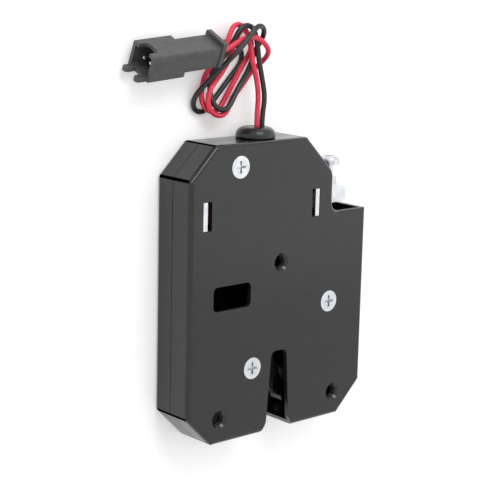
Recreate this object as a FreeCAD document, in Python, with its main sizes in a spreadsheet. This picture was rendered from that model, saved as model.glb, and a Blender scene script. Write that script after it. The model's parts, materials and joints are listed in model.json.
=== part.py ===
import FreeCAD, Part
import Sketcher
import math
import os
from FreeCAD import Placement, Rotation, Vector

# A small electric cabinet lock: a flat case of two folded steel shells, a hook that closes over a
# striker in the notch at the lower end, a catch lever that holds the hook, and a solenoid that
# pulls the lever. Two loose wires leave through a grommet and end in a plug.
# The lock lies on its back. X runs across it, Y towards the wires and Z out of its mounting face.
# The origin is the centre of the rear face. All lengths are in millimetres, angles in degrees.

SIZES = {
    # case
    "case_width": 58.0,
    "case_height": 73.0,
    "case_depth": 12.5,
    "rear_depth": 5.9,
    "parting_gap": 0.15,
    "plate": 1.2,
    "bend_radius": 1.2,
    "corner_chamfer": 7.8,
    "relief_width": 0.8,
    "relief_floor": 0.7,
    "recess_width": 11.8,
    "recess_height": 19.5,
    "recess_chamfer": 9.2,
    "recess_round": 2.5,
    "recess_nose": 3.5,
    # notch for the striker
    "notch_top_width": 5.0,
    "notch_mouth_width": 7.5,
    "notch_length": 20.5,
    "notch_round": 1.5,
    # window and slots in the mounting face
    "window_side": 13.35,
    "window_y": -0.3,
    "window_width": 11.7,
    "window_height": 6.0,
    "window_round": 1.2,
    "tab_slot_width": 2.6,
    "tab_slot_length": 7.0,
    "tab_slot_round": 0.3,
    # three tapped collars of the mounting face
    "tapped_radius": 1.65,
    "tapped_lead_in": 0.6,
    "collar_radius": 3.1,
    "collar_length": 1.3,
    "mount_upper_down": 13.75,
    "mount_lower_side": 10.0,
    "mount_lower_up": 6.25,
    # pillars and their screws
    "pillar_radius": 2.5,
    "rivet_radius": 1.6,
    "pillar_thread_radius": 1.25,
    "pillar_thread_length": 7.0,
    "top_pillar_side": 15.2,
    "top_pillar_down": 5.6,
    "catch_pillar_side": 12.35,
    "catch_pillar_up": 13.25,
    "hook_pillar_out": 8.7,
    "hook_pillar_up": 17.35,
    "screw_head_radius": 2.75,
    "screw_radius": 1.2,
    "screw_hole_radius": 1.6,
    "screw_length": 6.0,
    "screw_cross": 1.5,
    "screw_cross_width": 0.6,
    "screw_cross_depth": 0.9,
    "running_gap": 0.05,
    "stack_gap": 0.1,
    # hook
    "hook_thickness": 4.0,
    "hook_front_room": 3.0,
    "hook_hub": 5.4,
    "hook_reach": 18.2,
    "hook_close": 45.0,
    "hook_collar": 3.8,
    "mouth_radius": 2.4,
    "striker_up": 15.9,
    "barb_depth": 0.62,
    "hook_peg_x": 1.6,
    "hook_peg_y": 5.3,
    "hook_peg_room": 0.5,
    "peg_radius": 0.9,
    "washer_thickness": 0.5,
    "washer_radius": 4.0,
    # catch lever
    "lever_shift": 0.05,
    "lever_thickness": 2.2,
    "lever_hub": 5.0,
    "lever_lift": 5.5,
    "lever_collar": 3.8,
    "tab_reach": 9.2,
    "tab_below": 1.8,
    "tab_above": 2.0,
    "nose_along": 17.31,
    "nose_rise": 1.83,
    "slot_wall": 0.85,
    "lever_peg_out": 1.95,
    "lever_peg_length": 1.7,
    # release screw in the lever's tab
    "release_out": 4.1,
    "release_boss_radius": 1.9,
    "release_boss_foot": 3.5,
    "release_boss_top": 5.0,
    "release_grip": 4.0,
    "release_head_radius": 2.6,
    "release_head_height": 2.1,
    "release_head_up": 8.1,
    "release_shank_radius": 0.95,
    # solenoid
    "solenoid_up": 3.0,
    "frame_side": 2.9,
    "frame_to_pivot": 4.35,
    "frame_plate": 1.25,
    "frame_round": 1.4,
    "bobbin_side_gap": 0.85,
    "frame_above_axis": 6.6,
    "frame_top_gap": 0.1,
    "frame_tab_length": 6.8,
    "frame_tab_gap": 0.1,
    "plunger_radius": 2.5,
    "plunger_gap": 0.06,
    "bobbin_wall": 0.65,
    "bobbin_front_gap": 0.1,
    "bobbin_flange": 0.8,
    "winding_gap": 0.25,
    "pole_length": 11.7,
    "air_gap": 0.2,
    "plunger_collar_out": 2.1,
    "plunger_collar_radius": 3.5,
    "plunger_collar": 0.8,
    "fork_slot": 2.5,
    "fork_slot_depth": 2.7,
    "fork_past_pin": 1.9,
    "pin_out": 1.35,
    "pin_radius": 0.9,
    "pin_slot_width": 2.3,
    "pin_slot_length": 3.0,
    # springs
    "spring_wire": 0.5,
    "pivot_spring_radius": 3.2,
    "spring_leg_past_peg": 1.5,
    "hook_spring_leg": 7.5,
    "post_radius": 1.0,
    "plunger_spring_wire": 0.45,
    "plunger_spring_radius": 3.0,
    "plunger_spring_turns": 2.0,
    # grommet
    "grommet_x": -3.7,
    "grommet_radius": 4.9,
    "grommet_dome": 2.7,
    "grommet_neck": 3.4,
    "grommet_inner_radius": 4.4,
    "grommet_inner": 1.2,
    "wire_radius": 0.65,
    "wire_hole_gap": 0.05,
    "red_wire_x": -3.4,
    "black_wire_x": -1.7,
    # loose coil of wire
    "coil_length": 25.0,
    "coil_width": 13.0,
    "coil_hole": 3.6,
    "coil_height": 3.2,
    "coil_x": -8.3,
    "coil_y": 53.0,
    "coil_angle": 52.0,
    # plug
    "plug_width": 8.2,
    "plug_thickness": 6.7,
    "plug_shroud_length": 10.2,
    "plug_wall": 0.9,
    "plug_body_length": 10.4,
    "plug_body_inset": 0.6,
    "plug_flange": 1.1,
    "plug_flange_proud": 1.1,
    "plug_cut_width": 4.2,
    "plug_cut_depth": 2.6,
    "plug_prong_length": 5.4,
    "plug_prong_width": 1.9,
    "contact_width": 0.64,
    "contact_length": 7.0,
    "contact_spacing": 2.5,
    "plug_cavity_depth": 8.5,
    "wire_socket_depth": 2.5,
    "plug_x": -38.2,
    "plug_y": 60.8,
    "plug_z": 2.9,
    "plug_lean": 27.3,
    "plug_turn": 4.8,
}

EIGHTH_TAN = math.tan(math.radians(22.5))
ROOT_TWO = math.sqrt(2.0)

doc = FreeCAD.newDocument("solenoid_lock")
parts = []


class Size:
    """A number together with the sheet formula that it comes from."""

    def __init__(self, number, formula):
        self.number = number
        self.formula = formula

    def __float__(self):
        return float(self.number)

    def __neg__(self):
        return Size(-self.number, "(-%s)" % self.formula)

    def __add__(self, other):
        other = as_size(other)
        return Size(self.number + other.number, "(%s + %s)" % (self.formula, other.formula))

    def __sub__(self, other):
        other = as_size(other)
        return Size(self.number - other.number, "(%s - %s)" % (self.formula, other.formula))

    def __mul__(self, other):
        other = as_size(other)
        return Size(self.number * other.number, "(%s * %s)" % (self.formula, other.formula))

    def __truediv__(self, other):
        other = as_size(other)
        return Size(self.number / other.number, "(%s / %s)" % (self.formula, other.formula))

    def __radd__(self, other):
        return as_size(other) + self

    def __rsub__(self, other):
        return as_size(other) - self

    __rmul__ = __mul__


def as_size(value):
    return value if isinstance(value, Size) else Size(float(value), "%.9f" % value)


def cosine(angle):
    angle = as_size(angle)
    return Size(math.cos(math.radians(angle.number)), "cos(%s)" % angle.formula)


def sine(angle):
    angle = as_size(angle)
    return Size(math.sin(math.radians(angle.number)), "sin(%s)" % angle.formula)


def make_sheet():
    """Writes the driving sizes into the sheet and returns them by name."""
    sheet = doc.addObject("Spreadsheet::Sheet", "sizes")
    named = {}
    for row, (alias, value) in enumerate(SIZES.items(), start=1):
        sheet.set("A%d" % row, alias)
        sheet.set("B%d" % row, str(value))
        sheet.setAlias("B%d" % row, alias)
        named[alias] = Size(value, "sizes." + alias)
    doc.recompute()
    return named


class Named:
    """Gives the sheet's sizes as attributes."""

    def __init__(self, values):
        self.__dict__.update(values)


size = Named(make_sheet())

# Places that several pieces share.
half_width = size.case_width / 2
half_height = size.case_height / 2
recess_x = half_width - size.recess_width
step_y = half_height - size.recess_height
front_bottom = size.rear_depth + size.parting_gap
rear_inside = size.plate
front_inside = size.case_depth - size.plate
inside_depth = front_inside - rear_inside
parting_z = size.rear_depth + size.parting_gap / 2
lever_middle = (rear_inside + front_inside) / 2 + size.lever_shift
lever_bottom = lever_middle - size.lever_thickness / 2
lever_top = lever_middle + size.lever_thickness / 2
hook_top = front_inside - size.hook_front_room
hook_bottom = hook_top - size.hook_thickness
pivot_hole = size.pillar_radius + size.running_gap
hook_x = -size.hook_pillar_out
hook_y = size.hook_pillar_up - half_height
catch_x = half_width - size.catch_pillar_side
catch_y = hook_y + size.catch_pillar_up
top_x = size.top_pillar_side - half_width
top_y = half_height - size.top_pillar_down
solenoid_y = step_y + size.solenoid_up
solenoid_z = lever_middle
frame_left = size.plate - half_width + size.frame_side
frame_right = catch_x - size.frame_to_pivot
frame_inside_left = frame_left + size.frame_plate
frame_inside_right = frame_right - size.frame_plate
bobbin_rim = front_inside - solenoid_z - size.bobbin_front_gap
winding_radius = bobbin_rim - size.winding_gap
pin_x = catch_x + size.pin_out
release_x = recess_x + size.release_out
tab_bottom = solenoid_y - size.tab_below
tab_top = solenoid_y + size.tab_above
lever_arm = tab_bottom - catch_y
lever_peg_y = catch_y + lever_arm * 0.378


def bind(thing, name, value):
    """Ties one property to its sheet formula."""
    thing.setExpression(name, as_size(value).formula)


def new_body(name):
    body = doc.addObject("PartDesign::Body", name)
    body.Label = name
    parts.append(body)
    return body


def place(body, x, y, z, rotation=None):
    body.Placement = Placement(Vector(float(x), float(y), float(z)), rotation or Rotation())
    for axis, value in (("x", x), ("y", y), ("z", z)):
        bind(body, "Placement.Base." + axis, value)
    return body


def new_sketch(body, name, plane_role, offset):
    """A sketch on one of the body's own planes, moved along the plane's normal."""
    sketch = body.newObject("Sketcher::SketchObject", name)
    plane = next(f for f in body.Origin.OriginFeatures if f.Role == plane_role)
    sketch.AttachmentSupport = [(plane, "")]
    sketch.MapMode = "FlatFace"
    sketch.AttachmentOffset = Placement(Vector(0, 0, float(as_size(offset))), Rotation())
    bind(sketch, "AttachmentOffset.Base.z", offset)
    return sketch


def pin_point(sketch, geometry, position, x, y):
    """Fixes a point of the sketch at a place given by two sizes."""
    for kind, value, axis in (("DistanceX", as_size(x), -2), ("DistanceY", as_size(y), -1)):
        if abs(value.number) < 1e-9:
            sketch.addConstraint(Sketcher.Constraint("PointOnObject", geometry, position, axis))
            continue
        index = sketch.addConstraint(
            Sketcher.Constraint(kind, -1, 1, geometry, position, value.number)
        )
        sketch.setExpression("Constraints[%d]" % index, value.formula)


def add_circle(sketch, x, y, radius):
    radius = as_size(radius)
    centre = Vector(float(as_size(x)), float(as_size(y)), 0)
    circle = sketch.addGeometry(Part.Circle(centre, Vector(0, 0, 1), radius.number))
    pin_point(sketch, circle, 3, x, y)
    index = sketch.addConstraint(Sketcher.Constraint("Radius", circle, radius.number))
    sketch.setExpression("Constraints[%d]" % index, radius.formula)


def corner_round(corner, before, after, radius):
    """Where the arc of one rounded corner starts, ends and has its centre."""
    into = (before - corner).normalize()
    out = (after - corner).normalize()
    half_turn = into.getAngle(out) / 2
    cut = radius / math.tan(half_turn)
    centre = corner + (into + out).normalize() * (radius / math.sin(half_turn))
    left_turn = into.cross(out).z < 0
    return corner + into * cut, corner + out * cut, centre, left_turn


def add_outline(sketch, corners):
    """Draws a closed outline of straight edges. A corner with a third value is rounded to it."""
    count = len(corners)
    points = [Vector(float(as_size(c[0])), float(as_size(c[1])), 0) for c in corners]
    rounds = []
    for i, corner in enumerate(corners):
        before, after = points[i - 1], points[(i + 1) % count]
        if len(corner) > 2:
            rounds.append(corner_round(points[i], before, after, float(as_size(corner[2]))))
        else:
            rounds.append((points[i], points[i], None, True))
    lines = []
    for i in range(count):
        start, end = rounds[i][1], rounds[(i + 1) % count][0]
        lines.append(sketch.addGeometry(Part.LineSegment(start, end)))
    for i, corner in enumerate(corners):
        line_in, line_out = lines[i - 1], lines[i]
        arrive, leave, centre, left_turn = rounds[i]
        if centre is None:
            sketch.addConstraint(Sketcher.Constraint("Coincident", line_in, 2, line_out, 1))
            pin_point(sketch, line_out, 1, corner[0], corner[1])
            continue
        first, last = (arrive, leave) if left_turn else (leave, arrive)
        angles = [math.atan2((p - centre).y, (p - centre).x) for p in (first, last)]
        radius = as_size(corner[2])
        circle = Part.Circle(centre, Vector(0, 0, 1), radius.number)
        arc = sketch.addGeometry(Part.ArcOfCircle(circle, angles[0], angles[1]))
        at_in, at_out = (1, 2) if left_turn else (2, 1)
        sketch.addConstraint(Sketcher.Constraint("Tangent", line_in, 2, arc, at_in))
        sketch.addConstraint(Sketcher.Constraint("Tangent", arc, at_out, line_out, 1))
        index = sketch.addConstraint(Sketcher.Constraint("Radius", arc, radius.number))
        sketch.setExpression("Constraints[%d]" % index, radius.formula)
        mark = sketch.addGeometry(Part.Point(points[i]), True)
        sketch.addConstraint(Sketcher.Constraint("PointOnObject", mark, 1, line_in))
        sketch.addConstraint(Sketcher.Constraint("PointOnObject", mark, 1, line_out))
        pin_point(sketch, mark, 1, corner[0], corner[1])


def rectangle(x_low, y_low, x_high, y_high, *radius):
    return [
        (x_low, y_low, *radius),
        (x_high, y_low, *radius),
        (x_high, y_high, *radius),
        (x_low, y_high, *radius),
    ]


def add_feature(body, kind, name, sketch, length, reverse=False, both_ways=False):
    """Pads or pockets a sketch by a length, and stops the build if that changes nothing."""
    before = body.Shape.Volume if body.Tip else 0.0
    feature = body.newObject("PartDesign::" + kind, name)
    feature.Profile = sketch
    feature.Reversed = reverse
    feature.Midplane = both_ways
    feature.Length = float(as_size(length))
    bind(feature, "Length", length)
    doc.recompute()
    change = body.Shape.Volume - before
    if (change <= 1e-6) if kind == "Pad" else (change >= -1e-6):
        raise RuntimeError(name + " changes nothing")
    return feature


def pad(body, name, plane_role, offset, length, draw, **options):
    sketch = new_sketch(body, name + "_sketch", plane_role, offset)
    draw(sketch)
    return add_feature(body, "Pad", name, sketch, length, **options)


def pocket(body, name, plane_role, offset, length, draw, **options):
    sketch = new_sketch(body, name + "_sketch", plane_role, offset)
    draw(sketch)
    return add_feature(body, "Pocket", name, sketch, length, **options)


def turned(name, profile):
    """A body turned about its own Z axis from a closed profile of radius and height."""
    body = new_body(name)
    add_turned(body, name + "_turning", profile)
    return body


def add_turned(body, name, profile):
    sketch = new_sketch(body, name + "_sketch", "XZ_Plane", 0)
    add_outline(sketch, profile)
    turning = body.newObject("PartDesign::Revolution", name)
    turning.Profile = sketch
    turning.ReferenceAxis = (sketch, ["V_Axis"])
    turning.Angle = 360.0
    doc.recompute()
    return turning


def edges_where(feature, wanted):
    """The names of a feature's edges for which wanted(edge) is true."""
    names = []
    for number, edge in enumerate(feature.Shape.Edges, start=1):
        if wanted(edge):
            names.append("Edge%d" % number)
    if not names:
        raise RuntimeError("no edge found on " + feature.Name)
    return names


def dress(body, kind, name, base, names, radius):
    """Fillets or chamfers some edges of the last feature."""
    feature = body.newObject("PartDesign::" + kind, name)
    feature.Base = (base, names)
    property_name = "Radius" if kind == "Fillet" else "Size"
    setattr(feature, property_name, float(as_size(radius)))
    bind(feature, property_name, radius)
    doc.recompute()
    return feature


def is_ring_at(edge, z, radius):
    """Whether an edge is a full circle of that radius at that height."""
    if not isinstance(edge.Curve, Part.Circle) or abs(edge.Curve.Radius - float(radius)) > 1e-4:
        return False
    return abs(edge.Curve.Center.z - float(z)) < 1e-4


# Case

def case_outline():
    """The outer outline of both shells, with the recess for the lever's tab."""
    c = size.corner_chamfer
    return [
        (c - half_width, -half_height),
        (half_width - c, -half_height),
        (half_width, c - half_height),
        (half_width, step_y),
        (recess_x, step_y, size.recess_round),
        (recess_x, half_height - size.recess_chamfer, size.recess_nose),
        (recess_x - size.recess_chamfer, half_height),
        (c - half_width, half_height),
        (-half_width, half_height - c),
        (-half_width, c - half_height),
    ]


def case_inside():
    """The inside of the flanges. It runs past the recess, whose edges have no flange."""
    c, t = size.corner_chamfer, size.plate
    k = size.plate * EIGHTH_TAN
    past = size.recess_round * 0.4
    slope = recess_x + half_height - size.recess_chamfer - t * ROOT_TWO
    return [
        (c - half_width + k, t - half_height),
        (half_width - c - k, t - half_height),
        (half_width - t, c - half_height + k),
        (half_width - t, step_y + past),
        (recess_x + past, step_y + past),
        (recess_x + past, slope - recess_x - past),
        (recess_x - size.recess_chamfer - k, half_height - t),
        (c - half_width + k, half_height - t),
        (t - half_width, half_height - c - k),
        (t - half_width, c - half_height + k),
    ]


def folded_corners():
    """Each corner where two flanges meet, with the direction that points out of it."""
    outline = case_outline()
    bearings = {0: -112.5, 1: -67.5, 2: -22.5, 6: 67.5, 7: 112.5, 8: 157.5, 9: 202.5}
    return [(outline[i][0], outline[i][1], bearing) for i, bearing in bearings.items()]


def draw_reliefs(sketch):
    """A narrow slot across each folded corner."""
    reach = size.plate * 1.7
    half = size.relief_width / 2
    for x, y, bearing in folded_corners():
        along_x, along_y = math.cos(math.radians(bearing)), math.sin(math.radians(bearing))
        corners = []
        for a, b in ((-1, -1), (1, -1), (1, 1), (-1, 1)):
            corners.append(
                (
                    x + reach * (a * along_x) - half * (b * along_y),
                    y + reach * (a * along_y) + half * (b * along_x),
                )
            )
        add_outline(sketch, corners)


def notch_outline():
    """The striker's notch, which widens to its mouth and is rounded there."""
    top = size.notch_length - half_height
    half_top = size.notch_top_width / 2
    half_mouth = size.notch_mouth_width / 2
    over = size.plate
    lead = size.notch_round * 1.6
    return [
        (-half_top, top, size.notch_round),
        (-half_mouth, lead - half_height, size.notch_round),
        (-half_mouth - lead, -half_height - over),
        (half_mouth + lead, -half_height - over),
        (half_mouth, lead - half_height, size.notch_round),
        (half_top, top, size.notch_round),
    ]


SCREW_PLACES = (
    ("top", top_x, top_y),
    ("right", catch_x, catch_y),
    ("left", hook_x, hook_y),
)
mount_lower_x = half_width - size.mount_lower_side
mount_lower_y = size.mount_lower_up - half_height
MOUNT_PLACES = (
    (Size(0.0, "0"), solenoid_y - size.mount_upper_down),
    (-mount_lower_x, mount_lower_y),
    (mount_lower_x, mount_lower_y),
)


def is_bend(edge, face_z):
    """Whether an edge of the outer face is one that a flange is folded from."""
    box = edge.BoundBox
    if abs(box.ZMin - float(face_z)) > 1e-4 or abs(box.ZMax - float(face_z)) > 1e-4:
        return False
    if not isinstance(edge.Curve, Part.Line):
        return False
    middle = edge.CenterOfMass
    along_step = abs(middle.y - float(step_y)) < 1e-3
    beside_recess = abs(middle.x - float(recess_x)) < 1e-3
    return not (along_step or beside_recess)


def folded_shell(name, parting, depth, outward):
    """A pan of folded sheet: outward is 1 if its plate faces up and -1 if it faces down."""
    body = new_body(name)
    face_z = parting + depth * outward
    down = outward < 0
    blank = pad(
        body, name + "_blank", "XY_Plane", parting, depth,
        lambda s: add_outline(s, case_outline()), reverse=down,
    )
    bends = edges_where(blank, lambda e: is_bend(e, face_z))
    dress(body, "Fillet", name + "_bends", blank, bends, size.bend_radius)
    pocket(
        body, name + "_inside", "XY_Plane", parting, depth - size.plate,
        lambda s: add_outline(s, case_inside()), reverse=not down,
    )
    pocket(
        body, name + "_reliefs", "XY_Plane", parting, depth - size.relief_floor,
        draw_reliefs, reverse=not down,
    )
    pocket(
        body, name + "_notch", "XY_Plane", parting, depth * 3,
        lambda s: add_outline(s, notch_outline()), both_ways=True,
    )
    pocket(
        body, name + "_grommet_hole", "XZ_Plane", size.plate / 2 - half_height, size.plate * 3,
        lambda s: add_circle(s, size.grommet_x, parting_z, size.grommet_neck), both_ways=True,
    )
    return body


def rear_shell():
    body = folded_shell("rear_shell", size.rear_depth, size.rear_depth, -1)

    def rivet_holes(sketch):
        for _, x, y in SCREW_PLACES:
            add_circle(sketch, x, y, size.rivet_radius)

    pocket(body, "rivet_holes", "XY_Plane", 0, size.plate * 3, rivet_holes, both_ways=True)


def front_shell():
    depth = size.case_depth - front_bottom
    body = folded_shell("front_shell", front_bottom, depth, 1)

    def collars(sketch):
        for x, y in MOUNT_PLACES:
            add_circle(sketch, x, y, size.collar_radius)

    pad(body, "collars", "XY_Plane", front_inside - size.collar_length, size.collar_length, collars)

    def tapped_holes(sketch):
        for x, y in MOUNT_PLACES:
            add_circle(sketch, x, y, size.tapped_radius)

    drill = size.plate * 6
    pocket(body, "tapped_holes", "XY_Plane", size.case_depth, drill, tapped_holes, both_ways=True)

    def screw_holes(sketch):
        for _, x, y in SCREW_PLACES:
            add_circle(sketch, x, y, size.screw_hole_radius)

    drilled = pocket(
        body, "screw_holes", "XY_Plane", size.case_depth, drill, screw_holes, both_ways=True
    )
    rims = edges_where(drilled, lambda e: is_ring_at(e, size.case_depth, size.tapped_radius))
    lead_in = dress(body, "Chamfer", "tapped_lead_ins", drilled, rims, size.tapped_lead_in)
    rims = edges_where(lead_in, lambda e: is_ring_at(e, size.case_depth, size.screw_hole_radius))
    sink = size.screw_head_radius - size.screw_hole_radius
    dress(body, "Chamfer", "countersinks", lead_in, rims, sink)

    def window(sketch):
        half_w, half_h = size.window_width / 2, size.window_height / 2
        middle_x = size.window_side - half_width
        corners = rectangle(
            middle_x - half_w, size.window_y - half_h,
            middle_x + half_w, size.window_y + half_h, size.window_round,
        )
        add_outline(sketch, corners)

    pocket(body, "window", "XY_Plane", size.case_depth, size.plate * 3, window, both_ways=True)

    def tab_slots(sketch):
        low = solenoid_y - size.tab_slot_length / 2
        high = solenoid_y + size.tab_slot_length / 2
        left, right = frame_left, frame_right
        wide = size.tab_slot_width
        gap, corner = size.frame_tab_gap, size.tab_slot_round
        add_outline(sketch, rectangle(left - gap, low, left - gap + wide, high, corner))
        add_outline(sketch, rectangle(right + gap - wide, low, right + gap, high, corner))

    pocket(body, "tab_slots", "XY_Plane", size.case_depth, size.plate * 3, tab_slots, both_ways=True)


# Pillars, screws and washers

def pillar(name, x, y, collar_radius, collar_top):
    """A threaded pillar riveted into the rear shell, with a collar that carries its lever."""
    radius = size.pillar_radius
    bore = size.pillar_thread_radius
    top = front_inside
    profile = [
        (0, 0),
        (size.rivet_radius, 0),
        (size.rivet_radius, rear_inside),
        (collar_radius, rear_inside),
        (collar_radius, collar_top),
        (radius, collar_top),
        (radius, top),
        (bore + 0.4, top),
        (bore, top - 0.4),
        (bore, top - size.pillar_thread_length),
        (0, top - size.pillar_thread_length),
    ]
    place(turned(name, profile), x, y, 0)


def pillars():
    seat = size.pillar_radius + size.plate
    pillar("top_pillar", top_x, top_y, seat, rear_inside + size.plate)
    pillar("catch_pillar", catch_x, catch_y, size.lever_collar, lever_bottom - size.stack_gap)
    pillar("hook_pillar", hook_x, hook_y, size.hook_collar, hook_bottom - size.stack_gap)


def case_screw(name, x, y):
    """A countersunk cross-head screw, flush with the mounting face."""
    head = size.screw_head_radius - size.stack_gap / 2
    shank = size.screw_radius
    body = turned(
        name,
        [
            (0, -size.screw_length),
            (shank, -size.screw_length),
            (shank, shank - head),
            (head, 0),
            (0, 0),
        ],
    )

    def cross(sketch):
        long, half = size.screw_cross, size.screw_cross_width / 2
        add_outline(
            sketch,
            [
                (-half, -long), (half, -long), (half, -half), (long, -half), (long, half),
                (half, half), (half, long), (-half, long), (-half, half), (-long, half),
                (-long, -half), (-half, -half),
            ],
        )

    pocket(body, name + "_cross", "XY_Plane", 0, size.screw_cross_depth, cross)
    place(body, x, y, size.case_depth)


def washer(name, x, y, bottom):
    hole = size.pillar_radius + size.running_gap
    top = size.washer_thickness
    body = turned(name, [(hole, 0), (size.washer_radius, 0), (size.washer_radius, top), (hole, top)])
    place(body, x, y, bottom)


# Hook

def hook_point(x, y):
    """Turns a point of the closed hook, measured from its pivot, to where it is when open."""
    x, y = as_size(x), as_size(y)
    turn_cos, turn_sin = cosine(size.hook_close), sine(size.hook_close)
    return (
        hook_x + x * turn_cos + y * turn_sin,
        hook_y - x * turn_sin + y * turn_cos,
    )


def hook():
    """The claw, drawn open. Its mouth takes the striker and its long jaw ends over the nose."""
    body = new_body("hook")
    hub, reach, mouth = size.hook_hub, size.hook_reach, size.mouth_radius
    mouth_x = size.hook_pillar_out
    mouth_y = size.striker_up - size.hook_pillar_up
    notch_x = reach * 0.942
    barb_y = reach * 0.0802
    outline = [
        (*hook_point(-hub, -hub), hub * 0.9),
        (*hook_point(mouth_x + mouth * 1.06, mouth_y - mouth * 2.27), mouth * 0.5),
        (*hook_point(mouth_x + mouth * 0.79, mouth_y - mouth * 0.75), mouth * 0.25),
        (*hook_point(mouth_x - mouth, mouth_y - mouth * 1.57), mouth * 0.96),
        (*hook_point(mouth_x - mouth, mouth_y + mouth * 0.905), mouth * 0.96),
        hook_point(mouth_x + mouth * 3.15, mouth_y + mouth * 1.31),
        hook_point(notch_x, barb_y + size.barb_depth),
        hook_point(reach * 0.9967, barb_y),
        (*hook_point(reach * 0.983, reach * 0.178), hub * 0.185),
        (*hook_point(reach * 0.39, reach * 0.463), hub * 0.74),
        (*hook_point(-hub, hub), hub * 0.9),
    ]

    def draw(sketch):
        add_outline(sketch, outline)
        add_circle(sketch, hook_x, hook_y, pivot_hole)

    pad(body, "hook_plate", "XY_Plane", hook_bottom, size.hook_thickness, draw)
    peg_x, peg_y = hook_point(size.hook_peg_x, size.hook_peg_y)
    pad(
        body, "hook_peg", "XY_Plane", hook_top, size.hook_front_room - size.hook_peg_room,
        lambda s: add_circle(s, peg_x, peg_y, size.peg_radius),
    )


# Catch lever

def lever_point(x, y):
    """Turns a point of the engaged lever, measured from its pivot, to where it is when lifted."""
    x, y = as_size(x), as_size(y)
    turn_cos, turn_sin = cosine(size.lever_lift), sine(size.lever_lift)
    return (
        catch_x + x * turn_cos - y * turn_sin,
        catch_y + x * turn_sin + y * turn_cos,
    )


def catch_lever():
    """The lever, drawn lifted: a nose for the hook below, a tab outside the case above."""
    body = new_body("catch_lever")
    hub, arm = size.lever_hub, lever_arm
    x, y = catch_x, catch_y
    left = pin_x - size.pin_slot_width / 2 - size.slot_wall
    right = pin_x + size.pin_slot_width / 2 + size.slot_wall
    head_left = release_x - size.release_boss_radius
    head_right = release_x + size.release_boss_radius
    tab_end = recess_x + size.tab_reach
    boss_foot = solenoid_y + size.release_boss_foot
    boss_top = solenoid_y + size.release_boss_top
    tip_x = hook_x + size.nose_along - catch_x
    tip_y = hook_y + size.nose_rise - catch_y
    outline = [
        lever_point(tip_x, tip_y),
        (*lever_point(tip_x + hub * 0.07, tip_y - hub * 0.26), hub * 0.08),
        (*lever_point(tip_x + hub * 0.46, tip_y - hub * 0.65), hub * 0.2),
        (*lever_point(tip_x + hub * 1.04, tip_y - hub * 0.44), hub * 0.4),
        (x - hub * 0.2, y - hub * 1.1, hub * 0.8),
        (x + hub, y - hub, hub * 0.9),
        (x + hub, y + hub, arm * 0.166),
        (right, y + arm * 0.54, arm * 0.124),
        (right, tab_bottom, 0.8),
        (tab_end, tab_bottom, 0.8),
        (tab_end, tab_top, 0.8),
        (head_right, tab_top, 0.4),
        (head_right, boss_foot, 0.3),
        (head_left, boss_foot, 0.3),
        (head_left, tab_top, 0.4),
        (left, tab_top, 0.5),
        (left, y + arm * 0.75, arm * 0.166),
        (x - hub, y + hub, arm * 0.166),
        (x - hub, y - hub, hub * 0.6),
        (*lever_point(tip_x + hub * 0.36, tip_y - hub * 0.04), hub * 0.12),
        lever_point(tip_x + hub * 0.34, tip_y - hub * 0.208),
    ]
    slot_x, slot_y = size.pin_slot_width / 2, size.pin_slot_length / 2
    slot = rectangle(
        pin_x - slot_x, solenoid_y - slot_y, pin_x + slot_x, solenoid_y + slot_y, slot_x * 0.87
    )

    def draw(sketch):
        add_outline(sketch, outline)
        add_circle(sketch, x, y, pivot_hole)
        add_outline(sketch, slot)

    pad(body, "lever_plate", "XY_Plane", lever_bottom, size.lever_thickness, draw)
    pad(
        body, "lever_peg", "XY_Plane", lever_top, size.lever_peg_length,
        lambda s: add_circle(s, x - size.lever_peg_out, lever_peg_y, size.peg_radius),
    )
    pad(
        body, "release_boss", "XZ_Plane", -boss_top,
        boss_top - boss_foot + size.lever_thickness / 4,
        lambda s: add_circle(s, release_x, lever_middle, size.release_boss_radius),
    )
    bore = size.release_shank_radius + size.running_gap
    pocket(
        body, "release_bore", "XZ_Plane", -boss_top, size.release_grip * 2,
        lambda s: add_circle(s, release_x, lever_middle, bore), both_ways=True,
    )


TOWARDS_WIRES = Rotation(Vector(1, 0, 0), -90)
TOWARDS_RIGHT = Rotation(Vector(0, 1, 0), 90)


def release_screw():
    """A pan-head screw in the end of the lever, for opening by hand."""
    shank, head = size.release_shank_radius, size.release_head_radius
    foot = size.release_boss_top - size.release_grip - size.release_head_up
    high = size.release_head_height
    body = turned(
        "release_screw",
        [
            (0, foot),
            (shank, foot),
            (shank, 0),
            (head, 0),
            (head, high, high * 0.6),
            (0, high),
        ],
    )

    def slot(sketch):
        half, long = size.screw_cross_width / 2, size.screw_cross
        add_outline(sketch, rectangle(-long, -half, long, half))

    pocket(body, "release_slot", "XY_Plane", high, high * 0.4, slot)
    head_y = solenoid_y + size.release_head_up
    place(body, release_x, head_y, lever_middle, TOWARDS_WIRES)


# Solenoid

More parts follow.
